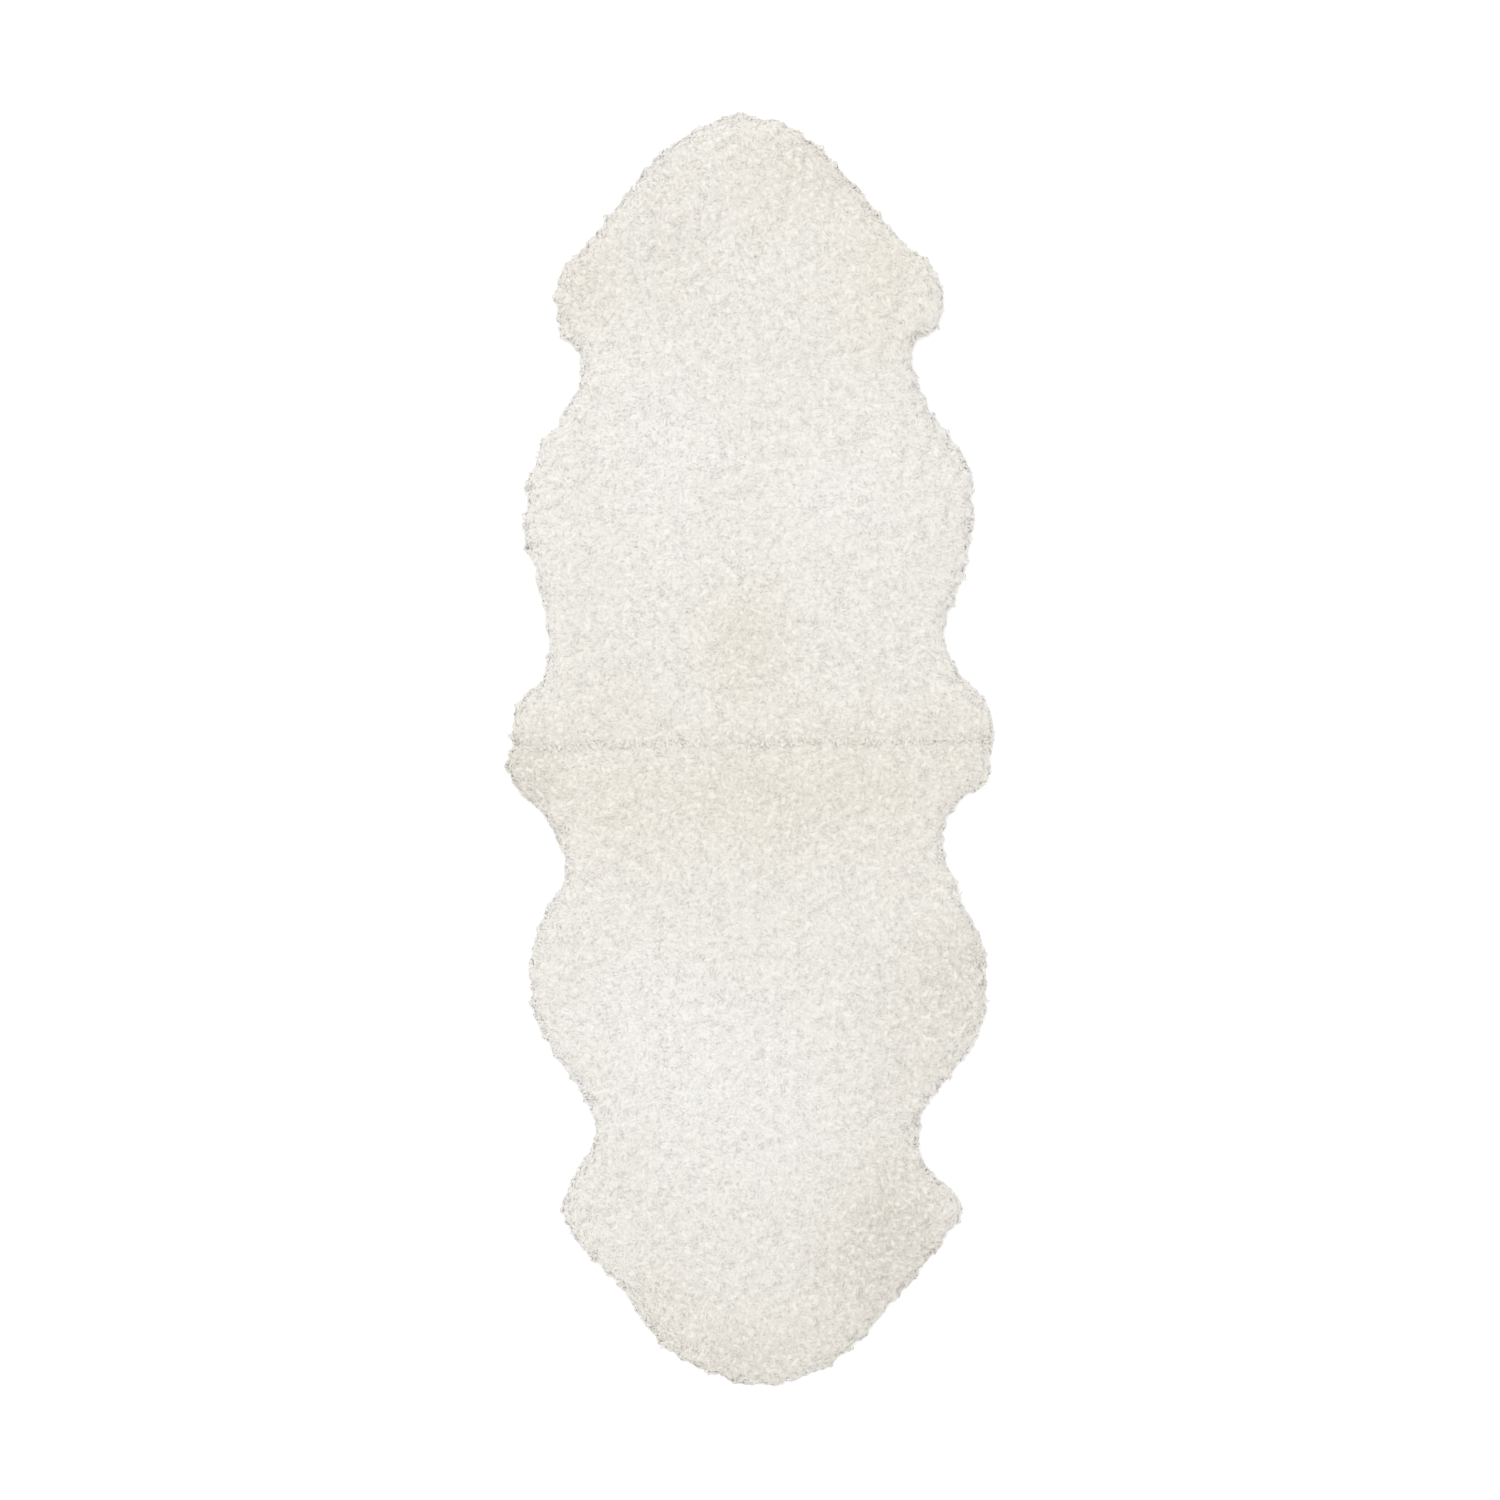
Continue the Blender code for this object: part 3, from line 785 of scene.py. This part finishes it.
def lock_shape(kind, material):
    """One lock at the origin, up along +Z and lying along X: it rises from its root, turns and thins."""
    chance = random.Random(LOCK_SEED + LOCK_KINDS.index(kind))
    path, headings = lock_path(kind, chance)
    lock = bmesh.new()
    rise_layer = lock.verts.layers.float.new("rise")
    fibre_layer = lock.loops.layers.uv.new("fibre")
    bmesh.ops.create_circle(lock, cap_ends=True, segments=len(LOCK_SECTION), radius=1.0)
    face = lock.faces[:][0]
    where = {}
    for step in range(LOCK_STEPS + 1):
        share = step / LOCK_STEPS
        if step:
            face = bmesh.ops.extrude_discrete_faces(lock, faces=[face])["faces"][0]
        rising = min(share / CREST_SHARE, 1.0)
        falling = max(share - CREST_SHARE, 0.0) / (1 - CREST_SHARE)
        height = -LOCK_ROOT + (kind.crest + LOCK_ROOT) * math.sin(rising * math.pi / 2)
        height += chance.uniform(-HEIGHT_JITTER, HEIGHT_JITTER) - kind.droop * falling**2
        steepness = (1 - rising) * ROOT_STEEPNESS
        ahead = Vector((math.cos(headings[step]), math.sin(headings[step]), steepness)).normalized()
        aside = Vector((-ahead.y, ahead.x, 0.0)).normalized()
        above = ahead.cross(aside)
        widened = math.sin(min(share * WIDENING, 1.0) * math.pi / 2)
        half_width = kind.half_width * (ROOT_WIDTH + (1 - ROOT_WIDTH) * widened)
        half_width *= chance.uniform(1 - WIDTH_JITTER, 1 + WIDTH_JITTER)
        half_width *= 1 - THINNING * share**THINNING_POWER
        centre = path[step].to_3d()
        centre.z = height
        for corner, (vertex, point) in enumerate(zip(face.verts, LOCK_SECTION)):
            vertex.co = centre + (aside * point.aside + above * point.above) * half_width
            vertex[rise_layer] = share
            where[vertex] = (corner, share)
    bmesh.ops.holes_fill(lock, edges=[edge for edge in lock.edges if edge.is_boundary], sides=0)
    bmesh.ops.recalc_face_normals(lock, faces=lock.faces)
    last = len(LOCK_SECTION) - 1
    # The two lower edges along the lock are crisp, so that its back isn't shaded as if it turned under.
    for edge in lock.edges:
        corners = {where[vertex][0] for vertex in edge.verts}
        edge.smooth = len(corners) > 1 or corners.isdisjoint((0, last))
    for side in lock.faces:
        corners = [where[vertex][0] for vertex in side.verts]
        wraps = 0 in corners and last in corners
        for loop in side.loops:
            corner, share = where[loop.vert]
            corner = last + 1 if wraps and corner == 0 else corner
            loop[fibre_layer].uv = (corner / (last + 1), share * kind.stride)
    mesh = mesh_of(lock, "lock_" + kind.name.replace(" ", "_"))
    mesh.shade_smooth()
    mesh.materials.append(material)
    return bpy.data.objects.new(mesh.name, mesh)


def planting_group(kinds):
    """Geometry nodes that set a lock of the named kind, turn and size on every point, as one mesh."""
    group = bpy.data.node_groups.new("plant_locks", "GeometryNodeTree")
    for way in ("INPUT", "OUTPUT"):
        group.interface.new_socket("Geometry", in_out=way, socket_type="NodeSocketGeometry")
    nodes, links = group.nodes, group.links
    start = nodes.new("NodeGroupInput")
    all_kinds = nodes.new("GeometryNodeCollectionInfo")
    all_kinds.inputs["Collection"].default_value = kinds
    all_kinds.inputs["Separate Children"].default_value = True
    plant = nodes.new("GeometryNodeInstanceOnPoints")
    plant.inputs["Pick Instance"].default_value = True
    links.new(start.outputs[0], plant.inputs["Points"])
    links.new(all_kinds.outputs[0], plant.inputs["Instance"])
    for name, kind, socket in (
        ("kind", "INT", "Instance Index"),
        ("turn", "FLOAT_VECTOR", "Rotation"),
        ("size", "FLOAT_VECTOR", "Scale"),
    ):
        value = nodes.new("GeometryNodeInputNamedAttribute")
        value.data_type = kind
        value.inputs["Name"].default_value = name
        links.new(value.outputs["Attribute"], plant.inputs[socket])
    join = nodes.new("GeometryNodeRealizeInstances")
    links.new(plant.outputs[0], join.inputs[0])
    links.new(join.outputs[0], nodes.new("NodeGroupOutput").inputs[0])
    return group


def is_crowded(place, cell, least, cells):
    """Whether a place has one near it that is kept in the cells: least is the square of their least gap."""
    for step in NEIGHBOURS:
        for other in cells.get((cell[0] + step[0], cell[1] + step[1], cell[2] + step[2]), ()):
            gap = (other[0] - place[0]) ** 2 + (other[1] - place[1]) ** 2 + (other[2] - place[2]) ** 2
            if gap < least:
                return True
    return False


def strewn_places(bed, chance):
    """Evenly strewn places on the bed's top and edge, with their normals, none too near another."""
    mesh = bed.data
    mesh.calc_loop_triangles()
    corners = np.empty(len(mesh.loop_triangles) * 3, np.int32)
    mesh.loop_triangles.foreach_get("vertices", corners)
    corners = corners.reshape(-1, 3)
    places = places_of(mesh)
    normals = normals_of(mesh)
    a, b, c = (places[corners[:, k]] for k in range(3))
    areas = np.linalg.norm(np.cross(b - a, c - a), axis=1) / 2
    facing = normals[corners].mean(axis=1)
    areas[(facing[:, 2] < LEAST_FACING) | (a[:, 2] < LEAST_HEIGHT)] = 0
    count = int(areas.sum() / LOCK_SPACING**2 * CANDIDATES)
    picked = chance.choice(len(areas), size=count, p=areas / areas.sum())
    u = np.sqrt(chance.random(count))
    v = chance.random(count)
    weights = np.stack([1 - u, u * (1 - v), u * v], axis=1)[:, :, None]
    tried = (places[corners[picked]] * weights).sum(axis=1)
    facing = (normals[corners[picked]] * weights).sum(axis=1)
    rim = 1 - np.clip(uprightness(facing), 0, 1)
    leasts = (LOCK_SPACING * (1 - RIM_CROWDING * rim)) ** 2
    grid = np.floor(tried / LOCK_SPACING).astype(int)
    rows = zip(tried.tolist(), map(tuple, grid.tolist()), leasts.tolist())
    cells = {}
    kept = []
    for index, (place, cell, least) in enumerate(rows):
        if not is_crowded(place, cell, least, cells):
            cells.setdefault(cell, []).append(place)
            kept.append(index)
    return tried[kept], facing[kept]


def with_bridges(places, normals, chance):
    """The places without those inside the seam, and with more that are right over it."""
    from_seam = seam_distance(places[:, 0], places[:, 1])
    on_top = uprightness(normals) > TOP_FACING
    outside = (np.abs(from_seam) > SEAM_TIGHT) | on_top
    places, normals, from_seam, on_top = (rows[outside] for rows in (places, normals, from_seam, on_top))
    bridged = BRIDGED_LEFT + (BRIDGED_RIGHT - BRIDGED_LEFT) * share_across(places)
    near = (np.abs(from_seam) < BRIDGE_REACH) & on_top & (chance.random(len(places)) < bridged)
    over = places[near]
    over[:, 1] -= from_seam[near] * BRIDGE_SHIFT
    over[:, 2] += BRIDGE_RISE
    return np.concatenate([places, over]), np.concatenate([normals, normals[near]])


def lock_turns(places, normals, tufted, chance):
    """Each lock's rotation: out from the spine, down over the edge, and at the seam often across it."""
    turns = []
    from_seam = seam_distance(places[:, 0], places[:, 1])
    for place, normal, beyond, tuft in zip(places, normals, from_seam, tufted):
        normal = Vector(normal).normalized()
        rim = 1 - max(normal.z, 0.0)
        axis = (normal + UP * (STAND_UP + STICK_OUT * tuft * rim)).normalized()
        neck = max(abs(place[1]) - NECK_START, 0.0) / NECK_LENGTH
        read_at = Vector((place[0] * SWIRL_SCALE, place[1] * SWIRL_SCALE, SWIRL_SLICE))
        swirl = noise.noise(read_at) * NOISE_GAIN
        out = 0.0 if place[0] + SPINE_WANDER * swirl > 0 else math.pi
        spin = out + swirl * (SWIRL + neck * NECK_SWIRL) + chance.normal(0.0, SPREAD)
        ahead = Vector((math.cos(spin), math.sin(spin), 0.0))
        if chance.random() < SEAM_COVER * (1 - abs(beyond) / SEAM_LEAN):
            ahead = Vector((ahead.x * SEAM_SLANT, -math.copysign(1.0, beyond), 0.0)).normalized()
        ahead += rim * Vector((normal.x, normal.y, -EDGE_DROP))
        ahead = (ahead - axis * ahead.dot(axis)).normalized()
        turn = Matrix((ahead, axis.cross(ahead), axis)).transposed()
        turns.append(tuple(turn.to_euler()))
    return np.array(turns, np.float32)


def plant_zone(name, places, values, group):
    """The locks that stand on these places, as one piece."""
    points = bpy.data.meshes.new("roots")
    points.vertices.add(len(places))
    points.vertices.foreach_set("co", places.ravel())
    for label, kind, rows in values:
        add_values(points, label, kind, rows)
    roots = add_piece("roots", points)
    roots.modifiers.new("plant", "NODES").node_group = group
    mesh = settled_mesh(roots, name)
    planted = places_of(mesh)
    planted[:, 2] = np.maximum(planted[:, 2], HIDE_BOTTOM)
    mesh.vertices.foreach_set("co", planted.ravel())
    return add_piece(name, mesh)


def plant_locks(pelt, bed, group):
    """All of one pelt's locks, as one piece for each zone."""
    chance = np.random.default_rng(PELTS.index(pelt) + STREWING_SEED)
    places, normals = with_bridges(*strewn_places(bed, chance), chance)
    tufted = np.maximum(noise_at(places, STICK_OUT_SCALE) * NOISE_GAIN, 0.0)
    turns = lock_turns(places, normals, tufted, chance)
    count = len(places)
    kinds = chance.integers(0, len(LOCK_KINDS), count).astype(np.int32)
    sizes = chance.uniform(*LOCK_SIZES, (count, 1)) * chance.uniform(*SIZE_JITTER, (count, 3))
    rim = np.clip(1 - uprightness(normals) / RIM_FACING, 0, 1)
    reach = rim * (TUFT_REACH * tufted + chance.uniform(-EDGE_JITTER, EDGE_JITTER, count))
    places = (places + normals * (1.0, 1.0, 0.0) * reach[:, None]).astype(np.float32)
    tones = chance.uniform(*LOCK_TONES, count)
    cream = patched(places, "cream", BASE_CREAM) + chance.uniform(-CREAM_JITTER, CREAM_JITTER, count)
    cream -= rim * RIM_WHITER
    # Greyer wool with painted shade and light from the patches; the rim is painted lighter, against the
    # shade on its steep sides.
    dull = patched(places, "dull", BASE_DULL) - rim * RIM_PAINTED_LIGHT
    values = (
        ("turn", "FLOAT_VECTOR", turns),
        ("size", "FLOAT_VECTOR", sizes.astype(np.float32)),
        ("kind", "INT", kinds),
        ("tone", "FLOAT", tones.astype(np.float32)),
        ("cream", "FLOAT", cream.astype(np.float32)),
        ("dull", "FLOAT", dull.astype(np.float32)),
    )
    pieces = []
    for zone in ZONES:
        inside = (np.abs(places[:, 1]) >= zone.nearest) & (np.abs(places[:, 1]) < zone.furthest)
        here = [(label, kind, rows[inside]) for label, kind, rows in values]
        pieces.append(plant_zone(f"{pelt}_{zone.name}_wool", places[inside], here, group))
    return pieces


# ---- Stage ----


def set_the_stage():
    """Camera, light and floor."""
    camera_data = bpy.data.cameras.new("camera")
    camera_data.lens = LENS_MM
    camera_data.sensor_width = SENSOR_MM
    camera = bpy.data.objects.new("camera", camera_data)
    camera.location = (*VIEW_MIDDLE, EDGE_HEIGHT + VIEW_SIDE * LENS_MM / SENSOR_MM)
    scene = bpy.context.scene
    scene.collection.objects.link(camera)
    scene.camera = camera
    scene.view_settings.view_transform = "Standard"

    world = bpy.data.worlds.new("soft_room")
    scene.world = world
    world.use_nodes = True
    sky = world.node_tree.nodes["Background"]
    sky.inputs["Color"].default_value = SKY_COLOUR
    sky.inputs["Strength"].default_value = SKY_STRENGTH

    soft_data = bpy.data.lights.new("soft_light", "AREA")
    soft_data.size = SOFT_LIGHT_SIDE
    soft_data.energy = SOFT_LIGHT_WATTS
    soft = bpy.data.objects.new("soft_light", soft_data)
    soft.location = SOFT_LIGHT_PLACE
    soft.rotation_euler = (-Vector(SOFT_LIGHT_PLACE)).to_track_quat("-Z", "Y").to_euler()
    scene.collection.objects.link(soft)

    plane = bmesh.new()
    bmesh.ops.create_grid(plane, x_segments=1, y_segments=1, size=FLOOR_SIDE / 2)
    mesh = mesh_of(plane, "floor")
    mesh.materials.append(new_material("floor", FLOOR_COLOUR, FLOOR_ROUGHNESS, sheen=0.0)[0])
    add_piece("floor", mesh)


# ---- The rug ----


def dress_pelt(pelt, bed_material, hide_material, group):
    """One pelt's bed, locks and hide, in place of its solid. Gives the hide."""
    bed = make_bed(pelt, bed_material)
    hide, hide_area = make_hide(pelt, bed, hide_material)
    locks = plant_locks(pelt, bed, group)
    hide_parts(pelt + "_pelt")
    for piece in (bed, *locks):
        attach(piece, "root")
    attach(hide, "root")
    width, length, _ = np.ptp(places_of(hide.data), axis=0).tolist()
    return hide


def dress_rug():
    """Both pelts, and the stitches that hold them together."""
    lock_material = lock_wool()
    bed_material = bed_wool()
    hide_material = suede()
    kinds = bpy.data.collections.new("lock_kinds")
    for kind in LOCK_KINDS:
        kinds.objects.link(lock_shape(kind, lock_material))
    group = planting_group(kinds)
    hides = [dress_pelt(pelt, bed_material, hide_material, group) for pelt in PELTS]
    stitches = sew_hides(hides, sewing_thread())
    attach(stitches, "root")
    for kind_object in list(kinds.objects):
        bpy.data.objects.remove(kind_object)
    bpy.data.collections.remove(kinds)


set_the_stage()
dress_rug()
